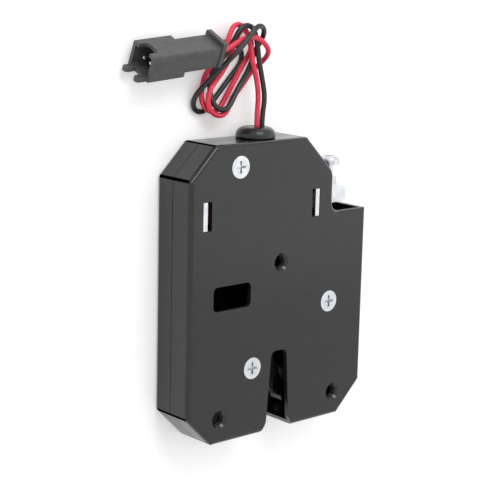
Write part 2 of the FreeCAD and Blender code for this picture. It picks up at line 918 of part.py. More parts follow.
def solenoid_frame():
    """The folded steel yoke, with two tabs that stand in the slots of the mounting face."""
    body = new_body("solenoid_frame")
    left, right, thick = frame_left, frame_right, size.frame_plate
    low = solenoid_y - bobbin_rim - size.bobbin_side_gap - thick
    high = solenoid_y + size.frame_above_axis
    outline = [
        (left, low, size.frame_round),
        (right, low, size.frame_round),
        (right, high),
        (frame_inside_right, high),
        (frame_inside_right, low + thick, 0.3),
        (frame_inside_left, low + thick, 0.3),
        (frame_inside_left, high),
        (left, high),
    ]
    tall = inside_depth - size.frame_top_gap
    pad(body, "yoke", "XY_Plane", rear_inside, tall, lambda s: add_outline(s, outline))
    tab_low = solenoid_y - size.frame_tab_length / 2
    tab_high = solenoid_y + size.frame_tab_length / 2

    def tabs(sketch):
        add_outline(sketch, rectangle(left, tab_low, frame_inside_left, tab_high))
        add_outline(sketch, rectangle(frame_inside_right, tab_low, right, tab_high))

    tab_foot = rear_inside + tall - size.frame_top_gap
    pad(body, "yoke_tabs", "XY_Plane", tab_foot, size.case_depth - tab_foot - size.frame_top_gap, tabs)
    hole = size.plunger_radius + size.plunger_gap
    pocket(
        body, "plunger_hole", "YZ_Plane", right, thick * 3,
        lambda s: add_circle(s, solenoid_y, solenoid_z, hole), both_ways=True,
    )


def bobbin_and_winding():
    gap = size.frame_tab_gap / 2
    length = frame_inside_right - frame_inside_left - gap * 2
    bore = size.plunger_radius + size.plunger_gap
    tube = bore + size.bobbin_wall
    rim, thick = bobbin_rim, size.bobbin_flange
    bobbin = turned(
        "bobbin",
        [
            (bore, 0),
            (rim, 0),
            (rim, thick),
            (tube, thick),
            (tube, length - thick),
            (rim, length - thick),
            (rim, length),
            (bore, length),
        ],
    )
    start = frame_inside_left + gap
    place(bobbin, start, solenoid_y, solenoid_z, TOWARDS_RIGHT)
    winding = turned(
        "winding",
        rectangle(tube, 0, winding_radius, length - thick * 2),
    )
    place(winding, start + thick, solenoid_y, solenoid_z, TOWARDS_RIGHT)


def pole_piece():
    body = turned("pole_piece", rectangle(0, 0, size.plunger_radius, size.pole_length))
    place(body, frame_inside_left, solenoid_y, solenoid_z, TOWARDS_RIGHT)


plunger_start = frame_inside_left + size.pole_length + size.air_gap


def plunger():
    """The moving core: a rod with a collar for its spring and a fork for the lever."""
    collar = frame_right + size.plunger_collar_out - plunger_start
    end = pin_x + size.fork_past_pin - plunger_start
    rod, wide = size.plunger_radius, size.plunger_collar_radius
    fork = rod + size.bobbin_wall / 2
    body = turned(
        "plunger",
        [
            (0, 0),
            (rod, 0),
            (rod, collar),
            (wide, collar),
            (wide, collar + size.plunger_collar),
            (fork, collar + size.plunger_collar),
            (fork, end, 0.6),
            (0, end),
        ],
    )
    half = size.fork_slot / 2
    slot_start = pin_x - size.fork_slot_depth - plunger_start
    pocket(
        body, "fork_slot", "XZ_Plane", 0, fork * 3,
        lambda s: add_outline(s, rectangle(-half, slot_start, half, end + 1.0)), both_ways=True,
    )
    hole = size.pin_radius + size.running_gap
    pocket(
        body, "pin_hole", "YZ_Plane", 0, fork * 3,
        lambda s: add_circle(s, 0, pin_x - plunger_start, hole), both_ways=True,
    )
    place(body, plunger_start, solenoid_y, solenoid_z, TOWARDS_RIGHT)
    long = size.plunger_radius * 2
    pin = turned("plunger_pin", rectangle(0, 0, size.pin_radius, long))
    place(pin, pin_x, solenoid_y, solenoid_z - long / 2)


# Springs

def coil_spring(name, place_at, wire, radius, pitch, turns, legs, rotation):
    """A round-wire spring of half turns, each tilted a little, that rise by a pitch a turn.

    Its two straight legs leave the coil along the coil's own line.
    """
    r, rise = float(radius), float(pitch) / 2
    start = Vector(r, 0, 0)
    origin = start - Vector(0, legs[0], 0)
    edges = []
    if legs[0] > 0:
        edges.append(Part.LineSegment(origin, start).toShape())
    for half in range(math.ceil(turns * 2 - 1e-6)):
        side = 1 if half % 2 == 0 else -1
        begin = Vector(side * r, 0, rise * half)
        middle = Vector(0, 0, rise * (half + 0.5))
        reach = (begin - middle).Length
        across, along = (begin - middle).normalize(), Vector(0, side, 0)
        angle = math.pi * min(1.0, turns * 2 - half)
        stops = []
        for a in (angle / 2, angle):
            stops.append(middle + across * (reach * math.cos(a)) + along * (reach * math.sin(a)))
        edges.append(Part.Arc(begin, stops[0], stops[1]).toShape())
        end, way = stops[1], along * math.cos(angle) - across * math.sin(angle)
    if legs[1] > 0:
        edges.append(Part.LineSegment(end, end + way * legs[1]).toShape())
    ring = Part.Wire([Part.Circle(origin, Vector(0, 1, 0), float(wire) / 2).toShape()])
    spring = doc.addObject("Part::Feature", name)
    spring.Label = name
    spring.Shape = Part.Wire(edges).makePipe(Part.Face(ring))
    spring.Placement = Placement(Vector(*[float(v) for v in place_at]), rotation)
    length = sum(edge.Length for edge in edges)
    section = math.pi * (float(wire) / 2) ** 2
    if abs(spring.Shape.Volume / (section * length) - 1) > 0.01:
        raise RuntimeError(name + " has the wrong volume")
    parts.append(spring)


def post(name, x, y, bottom, top):
    """A pin that a spring's outer leg leans on."""
    body = turned(name, rectangle(0, 0, size.post_radius, top - bottom))
    place(body, x, y, bottom)


def pivot_spring(name, x, y, seat_z, turns, legs, bearing):
    """A torsion spring round a pillar, wound to fill the room between its washer and the face."""
    wire = size.spring_wire
    start = seat_z + size.stack_gap * 2 + size.washer_thickness + wire / 2 + size.stack_gap
    rise = front_inside - start - wire / 2 - size.stack_gap
    radius = size.pivot_spring_radius
    last_slope = math.sin(math.pi * (turns * 2 % 1)) / (radius.number * 4)
    pitch = rise / (turns + legs[1] * last_slope)
    spot = (x, y, start)
    coil_spring(name, spot, wire, radius, pitch, turns, legs, Rotation(Vector(0, 0, 1), bearing))


def springs():
    wire, radius = size.spring_wire, size.pivot_spring_radius
    peg_x, peg_y = size.hook_peg_x.number, size.hook_peg_y.number
    past = size.spring_leg_past_peg
    beside_peg = float(radius - size.peg_radius - wire / 2 - size.running_gap)
    peg_reach = math.hypot(peg_x, peg_y)
    bearing = math.degrees(math.atan2(peg_y, peg_x) + math.acos(beside_peg / peg_reach))
    hook_leg = math.sqrt(peg_reach ** 2 - beside_peg ** 2) + float(past)
    case_leg = float(size.hook_spring_leg)
    turns = (900.0 - bearing) / 360.0
    pivot_spring("hook_spring", hook_x, hook_y, hook_top, turns, (hook_leg, case_leg), bearing)
    beside = radius - wire / 2 - size.post_radius - size.running_gap
    above_hook = hook_top + size.stack_gap * 2
    post("hook_spring_post", hook_x - beside, hook_y - case_leg + past, above_hook, front_inside)
    lever_leg = float(lever_peg_y - catch_y + past)
    side_leg = float(half_width - size.plate - catch_x - size.stack_gap * 8)
    pivot_spring("catch_spring", catch_x, catch_y, lever_top, 2.25, (lever_leg, side_leg), 180)
    post_top = front_inside - size.stack_gap
    post("catch_spring_post", catch_x + side_leg - past, catch_y - beside, rear_inside, post_top)
    wire = size.plunger_spring_wire
    room = size.plunger_collar_out - wire - size.stack_gap * 2
    turns = size.plunger_spring_turns.number
    coil_spring(
        "plunger_spring",
        (frame_right + wire / 2 + size.stack_gap, solenoid_y, solenoid_z),
        wire, size.plunger_spring_radius, room / turns, turns, (0, 0), TOWARDS_RIGHT,
    )


# Grommet, wires and coil

wire_z = parting_z
dome_y = half_height + size.grommet_dome


def grommet():
    """A rubber grommet clipped into the round hole between the two shells."""
    neck = size.grommet_neck - size.running_gap
    inner = size.plate + size.running_gap
    outline = [
        (0, -inner - size.grommet_inner),
        (size.grommet_inner_radius, -inner - size.grommet_inner, 0.4),
        (size.grommet_inner_radius, -inner),
        (neck, -inner),
        (neck, size.running_gap),
        (size.grommet_radius, size.running_gap, 0.3),
        (size.grommet_radius, size.grommet_dome, size.grommet_dome * 0.8),
        (0, size.grommet_dome),
    ]
    body = turned("grommet", outline)
    hole = size.wire_radius + size.wire_hole_gap

    def holes(sketch):
        for x in (size.red_wire_x, size.black_wire_x):
            add_circle(sketch, x - size.grommet_x, 0, hole)

    pocket(body, "wire_holes", "XY_Plane", 0, size.grommet_dome * 5, holes, both_ways=True)
    place(body, size.grommet_x, half_height, wire_z, TOWARDS_WIRES)


def lead(name, x):
    """The part of a wire inside the case, from the winding through the grommet."""
    start = solenoid_y + winding_radius + size.stack_gap
    body = turned(name, rectangle(0, 0, size.wire_radius, dome_y - start))
    place(body, x, start, wire_z, TOWARDS_WIRES)


def wire_tube(name, points):
    """A round wire along straight runs that are joined by tangent arcs."""
    points = [Vector(*[float(v) for v in p]) for p in points]
    edges = []
    radii = []
    start = points[0]
    for before, corner, after in zip(points, points[1:], points[2:]):
        into = (before - corner).normalize()
        out = (after - corner).normalize()
        half_turn = (math.pi - into.getAngle(out)) / 2
        cut = 0.45 * min(before.distanceToPoint(corner), after.distanceToPoint(corner))
        radius = cut / math.tan(half_turn)
        centre = corner + (into + out).normalize() * (radius / math.cos(half_turn))
        middle = centre + (corner - centre).normalize() * radius
        arrive, leave = corner + into * cut, corner + out * cut
        edges.append(Part.LineSegment(start, arrive).toShape())
        edges.append(Part.Arc(arrive, middle, leave).toShape())
        radii.append(round(radius, 1))
        start = leave
    edges.append(Part.LineSegment(start, points[-1]).toShape())
    way = (points[1] - points[0]).normalize()
    ring = Part.Wire([Part.Circle(points[0], way, float(size.wire_radius)).toShape()])
    tube = doc.addObject("Part::Feature", name)
    tube.Label = name
    tube.Shape = Part.Wire(edges).makePipeShell([ring], True, False)
    length = sum(edge.Length for edge in edges)
    section = math.pi * float(size.wire_radius) ** 2
    if abs(tube.Shape.Volume / (section * length) - 1) > 0.01:
        raise RuntimeError(name + " has the wrong volume")
    print(name, "length", round(length, 1), "arc radii", radii)
    parts.append(tube)


def risers():
    """Both wires from the grommet, down onto the coil."""
    red, black = size.red_wire_x, size.black_wire_x
    wire_tube(
        "red_wire",
        [
            (red, dome_y, wire_z),
            (red, dome_y + 2.8, wire_z),
            (-2.5, 46.5, 5.4),
            (-2.7, 50.4, 4.8),
            (-4.2, 54.8, 4.3),
            (-5.6, 58.0, 3.95),
            (-6.4, 60.3, 2.8),
        ],
    )
    wire_tube(
        "black_wire",
        [
            (black, dome_y, wire_z),
            (black, dome_y + 2.6, wire_z),
            (-0.5, 46.0, 5.5),
            (-0.9, 50.0, 4.9),
            (-2.2, 54.4, 4.3),
            (-3.5, 57.6, 3.95),
            (-4.6, 60.2, 2.8),
        ],
    )


def wire_coil():
    """The outer shape of the loose coil that both wires lie in."""
    body = new_body("wire_coil")
    x, y = size.coil_length / 2, size.coil_width / 2
    strand = (size.coil_width - size.coil_hole) / 2

    def draw(sketch):
        add_outline(sketch, rectangle(-x, -y, x, y, y * 0.97))
        hole_x, hole_y = x - strand, y - strand
        add_outline(sketch, rectangle(-hole_x, -hole_y, hole_x, hole_y, hole_y * 0.97))

    coil = pad(body, "coil_ring", "XY_Plane", 0, size.coil_height, draw)
    rims = edges_where(coil, lambda e: e.BoundBox.ZLength < 1e-6)
    dress(body, "Chamfer", "coil_bevel", coil, rims, size.coil_height * 0.25)
    turn = Rotation(Vector(0, 0, 1), size.coil_angle.number)
    place(body, size.coil_x, size.coil_y, 0, turn)
    bind(body, "Placement.Rotation.Angle", size.coil_angle)


# Plug

plug_rotation = Rotation(Vector(0, 0, 1), size.plug_turn.number) * Rotation(
    Vector(1, 0, 0), 90 + size.plug_lean.number
)
plug_end = size.plug_shroud_length + size.plug_body_length + size.plug_flange
contact_y = (
    size.plug_width / 2 + size.contact_spacing / 2,
    size.plug_width / 2 - size.contact_spacing / 2,
)


def on_plug(x, y, z):
    """A point of the plug in the lock's own directions."""
    spot = plug_rotation.multVec(Vector(float(x), float(y), float(z)))
    return spot + Vector(float(size.plug_x), float(size.plug_y), float(size.plug_z))


def plug_housing():
    """The wire-to-wire plug: x runs from its mouth to the wires, z from its visible wide face."""
    body = new_body("plug_housing")
    wide, thick, wall = size.plug_width, size.plug_thickness, size.plug_wall
    shroud, inset = size.plug_shroud_length, size.plug_body_inset
    mouth = rectangle(0, 0, wide, thick, 0.5)
    pad(body, "shroud", "YZ_Plane", 0, shroud, lambda s: add_outline(s, mouth))
    rear = rectangle(inset * 1.5, inset, wide - inset * 1.5, thick - inset, 0.4)
    pad(
        body, "rear_body", "YZ_Plane", shroud, size.plug_body_length,
        lambda s: add_outline(s, rear),
    )
    ridge = rectangle(inset, inset - size.plug_flange_proud, wide - inset, thick - inset, 0.4)
    pad(
        body, "rear_ridge", "YZ_Plane", plug_end - size.plug_flange, size.plug_flange,
        lambda s: add_outline(s, ridge),
    )
    cavity = rectangle(wall, wall, wide - wall, thick - wall, 0.3)
    pocket(
        body, "cavity", "YZ_Plane", 0, size.plug_cavity_depth * 2,
        lambda s: add_outline(s, cavity), both_ways=True,
    )
    middle, half = wide / 2, size.plug_cut_width / 2
    deep = size.plug_cut_depth
    cut = rectangle(-deep, middle - half, deep, middle + half, 0.8)
    pocket(
        body, "mouth_cut", "XY_Plane", 0, wall * 2, lambda s: add_outline(s, cut), both_ways=True
    )

    def prongs(sketch):
        long, broad = size.plug_prong_length, size.plug_prong_width
        for low in (wall, wide - wall - broad):
            add_outline(sketch, rectangle(-long / 2, low, long / 2, low + broad, broad * 0.48))

    pad(body, "prongs", "XY_Plane", thick - wall, wall, prongs)
    tooth = rectangle(shroud - 0.9, middle - 1.5, shroud + 1.0, middle + 1.5)
    pad(
        body, "latch_tooth", "XY_Plane", thick - inset - 0.1, inset + 0.4,
        lambda s: add_outline(s, tooth),
    )
    for side in (0, 1):
        pocket(
            body, "wire_socket_%d" % side, "YZ_Plane", plug_end, size.wire_socket_depth * 2,
            lambda s: add_circle(
                s, contact_y[side], thick / 2, size.wire_radius + size.wire_hole_gap
            ),
            both_ways=True,
        )
    body.Placement = Placement(on_plug(0, 0, 0), plug_rotation)


def contacts():
    half = size.contact_width / 2
    for side, name in enumerate(("contact_red", "contact_black")):
        body = new_body(name)
        middle_y, middle_z = contact_y[side], size.plug_thickness / 2
        pin = rectangle(middle_y - half, middle_z - half, middle_y + half, middle_z + half)
        start = size.plug_cavity_depth - size.contact_length
        pad(
            body, name + "_pin", "YZ_Plane", start, size.contact_length,
            lambda s: add_outline(s, pin),
        )
        tip = edges_where(
            body.Tip,
            lambda e: e.BoundBox.XMax < start.number + 1e-6,
        )
        dress(body, "Chamfer", name + "_tip", body.Tip, tip, size.contact_width * 0.25)
        body.Placement = Placement(on_plug(0, 0, 0), plug_rotation)


def tails():
    """Both wires between the plug and the coil."""
    deep = plug_end - size.wire_socket_depth
    red = on_plug(deep, contact_y[0], size.plug_thickness / 2)
    black = on_plug(deep, contact_y[1], size.plug_thickness / 2)
    out = size.wire_socket_depth.number + 1.4
    way = plug_rotation.multVec(Vector(1, 0, 0))
    wire_tube("red_tail", [red, red + way * out, (-11.0, 58.3, 4.5), (-8.7, 58.8, 2.9)])
    wire_tube("black_tail", [black, black + way * out, (-11.4, 60.0, 3.3), (-9.4, 60.6, 2.5)])


def finish():
    """Checks every object and every piece before a file is written."""
    doc.recompute()
    for thing in doc.Objects:
        if "Invalid" in thing.State or "Error" in thing.State:
            raise RuntimeError("%s failed: %s" % (thing.Name, thing.State))
    for piece in parts:
        if piece.Shape.isNull() or not piece.Shape.isValid():
            raise RuntimeError(piece.Label + " has no valid shape")
    os.makedirs("parts", exist_ok=True)
    for piece in parts:
        piece.Shape.exportStep("parts/%s.step" % piece.Label)


rear_shell()
front_shell()
pillars()
for place_name, screw_x, screw_y in SCREW_PLACES:
    case_screw("screw_" + place_name, screw_x, screw_y)
washer("hook_washer", hook_x, hook_y, hook_top + size.stack_gap)
washer("catch_washer", catch_x, catch_y, lever_top + size.stack_gap)
hook()
catch_lever()
release_screw()
solenoid_frame()
bobbin_and_winding()
pole_piece()
plunger()
springs()
grommet()
lead("red_lead", size.red_wire_x)
lead("black_lead", size.black_wire_x)
risers()
wire_coil()
plug_housing()
contacts()
tails()
finish()
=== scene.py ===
"""The looks of a small solenoid lock: camera, wires, floor, light and the finish of every piece."""
import json
import math

import bpy
from mathutils import Matrix, Vector


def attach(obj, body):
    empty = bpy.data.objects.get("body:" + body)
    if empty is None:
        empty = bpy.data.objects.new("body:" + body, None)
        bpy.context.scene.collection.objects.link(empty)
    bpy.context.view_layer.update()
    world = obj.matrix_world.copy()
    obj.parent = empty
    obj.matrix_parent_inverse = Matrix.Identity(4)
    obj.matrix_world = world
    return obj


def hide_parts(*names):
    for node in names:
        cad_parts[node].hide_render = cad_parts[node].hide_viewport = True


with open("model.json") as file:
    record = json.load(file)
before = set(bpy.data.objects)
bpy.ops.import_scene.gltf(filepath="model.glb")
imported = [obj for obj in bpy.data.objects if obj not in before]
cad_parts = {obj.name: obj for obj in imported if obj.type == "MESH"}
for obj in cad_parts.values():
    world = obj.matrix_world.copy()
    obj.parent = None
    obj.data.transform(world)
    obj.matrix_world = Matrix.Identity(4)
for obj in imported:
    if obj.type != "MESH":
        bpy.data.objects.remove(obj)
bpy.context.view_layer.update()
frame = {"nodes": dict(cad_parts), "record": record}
MM = 0.001


# Camera

CAMERA_PLACE = (-0.2375, 0.0830, 0.2688)
CAMERA_RIGHT = (0.75593, 0.02203, 0.65429)
CAMERA_UP = (0.1148, 0.97949, -0.16562)
CAMERA_BACK = (-0.64451, 0.20031, 0.73789)
CAMERA_LENS = 109.65
CAMERA_SENSOR = 36.0


def make_camera():
    data = bpy.data.cameras.new("camera")
    data.lens = CAMERA_LENS
    data.sensor_width = CAMERA_SENSOR
    data.clip_start = 0.01
    camera = bpy.data.objects.new("camera", data)
    bpy.context.scene.collection.objects.link(camera)
    columns = Matrix((CAMERA_RIGHT, CAMERA_UP, CAMERA_BACK)).transposed()
    camera.matrix_world = Matrix.Translation(CAMERA_PLACE) @ columns.to_4x4()
    bpy.context.scene.camera = camera


# Wires
# The loose coil is planned from above, in millimetres along and across it. Each half turn bends
# round one end of the coil. A strand of a higher layer lies on the strands below it.

WIRE = 1.3
WIRE_FACETS = 4
COIL_CENTRE = (-8.3, 53.0)
COIL_LEAN = math.radians(52)

# A route goes in even steps. Crossing strands keep LAYING_GAP between their middles, and a strand
# starts to rise HUMP_STEPS before it crosses another.
STEP = 0.9
LAYING_GAP = 1.44
HUMP_STEPS = 4
SAME_STRAND_STEPS = 5
SETTLING_ROUNDS = 20
EASING_ROUNDS = 3

# From the grommet: x, y and height.
RED_RISER = [(-3.4, 39.2, 5.975), (-3.4, 42.0, 5.975), (-2.5, 46.5, 5.4), (-2.7, 50.4, 4.8)]
BLACK_RISER = [(-1.7, 39.2, 5.975), (-1.7, 41.8, 5.975), (-0.5, 46.0, 5.5), (-0.9, 50.0, 4.9)]

# Onto the coil and off it: along, across, layer and least height.
RED_ON = [(3.9, -2.3, 7, 4.4), (5.2, -1.0, 7, 3.4), (7.0, 0.5, 7, 0)]
RED_OFF = [
    (9.0, -0.8, 9, 6.1),
    (8.5, 1.6, 9, 6.1),
    (6.6, 4.0, 9, 4.5),
    (4.4, 5.4, 9, 0),
    (2.5, 6.1, 9, 4.3),
    (0.6, 7.3, 9, 5.4),
]
BLACK_ON = [(4.9, -4.1, 7.5, 4.5), (6.2, -2.6, 7.5, 3.8), (8.1, -0.5, 7.5, 0)]
BLACK_OFF = [
    (5.6, 2.4, 1, 0),
    (4.6, 4.6, 1, 0),
    (3.4, 6.3, 1, 0),
    (2.3, 7.4, 1, 1.5),
    (1.0, 8.4, 1, 2.7),
    (0.1, 8.85, 1, 3.5),
]

# Each end of the coil that the wire bends round: along, across, radius, how far the next side
# bows out, and the layers of both halves of the bend and both halves of that side.
RED_ENDS = [
    (6.1, 4.5, 3.2, 0.3, (7, 7, 3, 3)),
    (-9.0, 0.3, 3.3, -0.2, (3, 3, 3, 3)),
    (7.0, 1.0, 3.1, -1.5, (3, 3, 5, 5)),
    (-8.4, -0.7, 4.0, 0.4, (5, 3.5, 3.5, 3.5)),
    (5.5, -3.3, 3.4, 0.0, (3.5, 9, 9, 9)),
]
BLACK_ENDS = [
    (7.2, 3.1, 3.0, 0.2, (7.5, 7.5, 4, 4)),
    (-8.0, -0.8, 2.9, 0.9, (4, 4, 4, 4)),
    (8.6, 1.2, 3.0, 0.8, (4, 10, 10, 6)),
    (-11.0, 2.1, 2.9, 0.0, (6, 1, 1, 1)),
    (3.2, 0.4, 2.8, 0.0, (1, 1, 1, 1)),
]

# The bearings, in degrees, at which each wire comes onto its first bend and leaves its last.
RED_BEARINGS = (-50, 10)
BLACK_BEARINGS = (-45, 20)

# Into the plug: x, y and height.
RED_PLUGGED = [(-16.1, 57.2, 6.1), (-18.6, 57.0, 6.1)]
BLACK_PLUGGED = [(-16.2, 58.35, 3.9), (-18.7, 58.14, 3.9)]


def straight(points):
    """Even steps along straight legs between the given places."""
    route = [points[0]]
    for start, end in zip(points, points[1:]):
        steps = max(1, round(math.hypot(end[0] - start[0], end[1] - start[1]) / STEP))
        for step in range(1, steps):
            share = step / steps
            along, across = (start[k] + (end[k] - start[k]) * share for k in (0, 1))
            least = start[3] + (end[3] - start[3]) * share
            route.append((along, across, start[2], least))
        route.append(end)
    return route


def bend_bearings(ends, first, last):
    """The bearings at which the wire comes onto each bend, and at which it leaves the last."""
    bearings = [math.radians(first)]
    for here, there in zip(ends, ends[1:]):
        along, across = there[0] - here[0], there[1] - here[1]
        away = math.hypot(along, across)
        bearings.append(math.atan2(across, along) - math.acos((here[2] - there[2]) / away))
    bearings.append(math.radians(last))
    for i in range(1, len(bearings)):
        while bearings[i] < bearings[i - 1]:
            bearings[i] += 2 * math.pi
    return bearings


def loose_turns(ends, first, last):
    """Even steps round the bends and along the gently bowed sides between them."""
    bearings = bend_bearings(ends, first, last)
    route = []
    for i, (along, across, radius, bow, layers) in enumerate(ends):
        swing = bearings[i + 1] - bearings[i]
        steps = max(2, round(swing * radius / STEP))
        for step in range(steps + 1):
            bearing = bearings[i] + swing * step / steps
            place = (along + radius * math.cos(bearing), across + radius * math.sin(bearing))
            route.append((*place, layers[0] if step < steps / 2 else layers[1], 0))
        if i + 1 == len(ends):
            return route
        out = (math.cos(bearing), math.sin(bearing))
        target = [ends[i + 1][k] + ends[i + 1][2] * out[k] for k in (0, 1)]
        steps = round(math.dist(place, target) / STEP)
        for step in range(1, steps):
            share = step / steps
            lean = bow * math.sin(math.pi * share) ** 2
            spot = [place[k] + (target[k] - place[k]) * share + lean * out[k] for k in (0, 1)]
            route.append((*spot, layers[2] if share < 0.5 else layers[3], 0))


def planned(onto, ends, bearings, off):
    return straight(onto) + loose_turns(ends, *bearings) + straight(off)


def humped(heights):
    """Spreads every height that is needed into a smooth hump."""
    last = len(heights) - 1
    reach = range(-HUMP_STEPS, HUMP_STEPS + 1)
    weights = [1 + math.cos(math.pi * k / (HUMP_STEPS + 1)) for k in reach]
    top = [max(heights[max(0, i - HUMP_STEPS):i + HUMP_STEPS + 1]) for i in range(last + 1)]
    smooth = []
    for i in range(last + 1):
        near = [top[min(max(i + k, 0), last)] for k in reach]
        smooth.append(sum(w * h for w, h in zip(weights, near)) / sum(weights))
    return smooth


def strands_below(routes):
    """For every place, the places of lower layers that it crosses, each with the rise over it."""
    places = [(r, i, place) for r, route in enumerate(routes) for i, place in enumerate(route)]
    below = []
    for r, i, place in places:
        crossed = []
        for s, j, other in places:
            apart = math.hypot(place[0] - other[0], place[1] - other[1])
            same_strand = r == s and abs(i - j) < SAME_STRAND_STEPS
            if other[2] < place[2] and apart < LAYING_GAP and not same_strand:
                crossed.append((s, j, math.sqrt(LAYING_GAP**2 - apart**2)))
        below.append((r, i, crossed))
    return below


def settled_heights(routes):
    """Lays the strands on the floor and on each other."""
    below = strands_below(routes)
    heights = [[WIRE / 2] * len(route) for route in routes]
    for _ in range(SETTLING_ROUNDS):
        needed = [[max(WIRE / 2, place[3]) for place in route] for route in routes]
        for r, i, crossed in below:
            for s, j, rise in crossed:
                needed[r][i] = max(needed[r][i], heights[s][j] + rise)
        heights = [humped(row) for row in needed]
    return heights


def eased(points):
    """Takes the last small corners out of a route."""
    for _ in range(EASING_ROUNDS):
        middle = [
            tuple((a + 2 * b + c) / 4 for a, b, c in zip(before, here, after))
            for before, here, after in zip(points, points[1:], points[2:])
        ]
        points = [points[0], *middle, points[-1]]
    return points


def on_floor(along, across, height):
    """A place given along and across the coil, in the lock's own directions."""
    x = COIL_CENTRE[0] + along * math.cos(COIL_LEAN) - across * math.sin(COIL_LEAN)
    y = COIL_CENTRE[1] + along * math.sin(COIL_LEAN) + across * math.cos(COIL_LEAN)
    return (x, y, height)


def coiled(route, heights):
    return [on_floor(*place) for place in eased([(*p[:2], h) for p, h in zip(route, heights)])]


def round_curve(name, points, radius, facets, finish):
    """A round open curve drawn by the given points, in millimetres, that rides the lock."""
    data = bpy.data.curves.new(name, "CURVE")
    data.dimensions = "3D"
    data.bevel_depth = 1.0
    data.bevel_resolution = facets
    data.materials.append(finish)
    spline = data.splines.new("NURBS")
    spline.points.add(len(points) - 1)
    for knot, point in zip(spline.points, points):
        knot.co = (point[0] * MM, point[1] * MM, point[2] * MM, 1.0)
        knot.radius = radius * MM
    spline.order_u = 3
    spline.use_endpoint_u = True
    piece = bpy.data.objects.new(name, data)
    bpy.context.scene.collection.objects.link(piece)
    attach(piece, "lock")
    return piece


def wire(name, points, finish):
    """A wire with closed ends."""
    piece = round_curve(name, points, WIRE / 2, WIRE_FACETS, finish)
    piece.data.use_fill_caps = True
    piece.data.resolution_u = WIRE_FACETS
    return piece


def make_wires(finishes):
    red_route = planned(RED_ON, RED_ENDS, RED_BEARINGS, RED_OFF)
    black_route = planned(BLACK_ON, BLACK_ENDS, BLACK_BEARINGS, BLACK_OFF)
    red_heights, black_heights = settled_heights([red_route, black_route])
    red_points = RED_RISER + coiled(red_route, red_heights) + RED_PLUGGED
    black_points = BLACK_RISER + coiled(black_route, black_heights) + BLACK_PLUGGED
    red = wire("red_cord", red_points, finishes["wire_red"])
    black = wire("black_cord", black_points, finishes["wire_black"])
    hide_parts("red_wire", "red_tail")
    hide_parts("black_wire", "black_tail", "wire_coil")


# Threads of the tapped holes
# Each is a ridge that winds down the wall of its hole.

THREAD_PLACES = {
    "thread_upper": (0, 6.25),
    "thread_left": (-19, -30.25),
    "thread_right": (19, -30.25),
}
THREAD_RADIUS = 1.70
THREAD_PITCH = 0.7
THREAD_HEIGHTS = (10.15, 11.75)
THREAD_RIDGE = 0.2
THREAD_FACETS = 1
STEPS_PER_TURN = 24


def make_threads(finishes):
    low, high = THREAD_HEIGHTS
    steps = round((high - low) / THREAD_PITCH * STEPS_PER_TURN)
    for name, (x, y) in THREAD_PLACES.items():
        points = []
        for step in range(steps + 1):
            bearing = 2 * math.pi * step / STEPS_PER_TURN
            across = x + THREAD_RADIUS * math.cos(bearing)
            along = y + THREAD_RADIUS * math.sin(bearing)
            points.append((across, along, low + (high - low) * step / steps))
        round_curve(
            name, points, THREAD_RIDGE, THREAD_FACETS, finishes["case_front"]
        )


# Floor and light

FLOOR_SIZE = 3.0
FLOOR_WHITE = 0.93
FLOOR_LIFT = 0.22
SKY = 0.85
SKY_LIFT = 0.15

# Each lamp's place, what it points at, its width in metres and its power in watts.
LAMPS = {
    "key": ((-0.05, 0.55, 0.45), (0, 0.02, 0.01), 0.35, 1.5),
    "fill": ((0.50, 0.15, 0.60), (0, 0, 0.01), 0.70, 0.45),
}


def lifted(tree, strength, lift):
    """A strength that is higher where the camera, a mirror or glass looks, but lights nothing."""
    path = tree.nodes.new("ShaderNodeLightPath")
    looked_at = path.outputs["Is Camera Ray"]
    for way in ("Is Glossy Ray", "Is Transmission Ray"):
        either = tree.nodes.new("ShaderNodeMath")
        either.operation = "MAXIMUM"
        tree.links.new(looked_at, either.inputs[0])
        tree.links.new(path.outputs[way], either.inputs[1])
        looked_at = either.outputs[0]
    total = tree.nodes.new("ShaderNodeMath")
    total.operation = "MULTIPLY_ADD"
    total.inputs[1].default_value = lift
    total.inputs[2].default_value = strength
    tree.links.new(looked_at, total.inputs[0])
    return total.outputs[0]


def make_floor():
    mesh = bpy.data.meshes.new("floor")
    half = FLOOR_SIZE / 2
    corners = [(-half, -half, 0), (half, -half, 0), (half, half, 0), (-half, half, 0)]
    mesh.from_pydata(corners, [], [(0, 1, 2, 3)])
    floor = bpy.data.objects.new("floor", mesh)
    bpy.context.scene.collection.objects.link(floor)
    material = bpy.data.materials.new("floor")
    material.use_nodes = True
    tree = material.node_tree
    tree.nodes.clear()
    output = tree.nodes.new("ShaderNodeOutputMaterial")
    paper = tree.nodes.new("ShaderNodeBsdfDiffuse")
    paper.inputs["Color"].default_value = (FLOOR_WHITE, FLOOR_WHITE, FLOOR_WHITE, 1)
    glow = tree.nodes.new("ShaderNodeEmission")
    tree.links.new(lifted(tree, 0.0, FLOOR_LIFT), glow.inputs["Strength"])
    both = tree.nodes.new("ShaderNodeAddShader")
    tree.links.new(paper.outputs[0], both.inputs[0])
    tree.links.new(glow.outputs[0], both.inputs[1])
    tree.links.new(both.outputs[0], output.inputs["Surface"])
    mesh.materials.append(material)


def area_light(name, place, aim, width, power):
    data = bpy.data.lights.new(name, "AREA")
    data.shape = "DISK"
    data.size = width
    data.energy = power
    light = bpy.data.objects.new(name, data)
    bpy.context.scene.collection.objects.link(light)
    light.location = place
    light.rotation_euler = (Vector(aim) - Vector(place)).to_track_quat("-Z", "Y").to_euler()


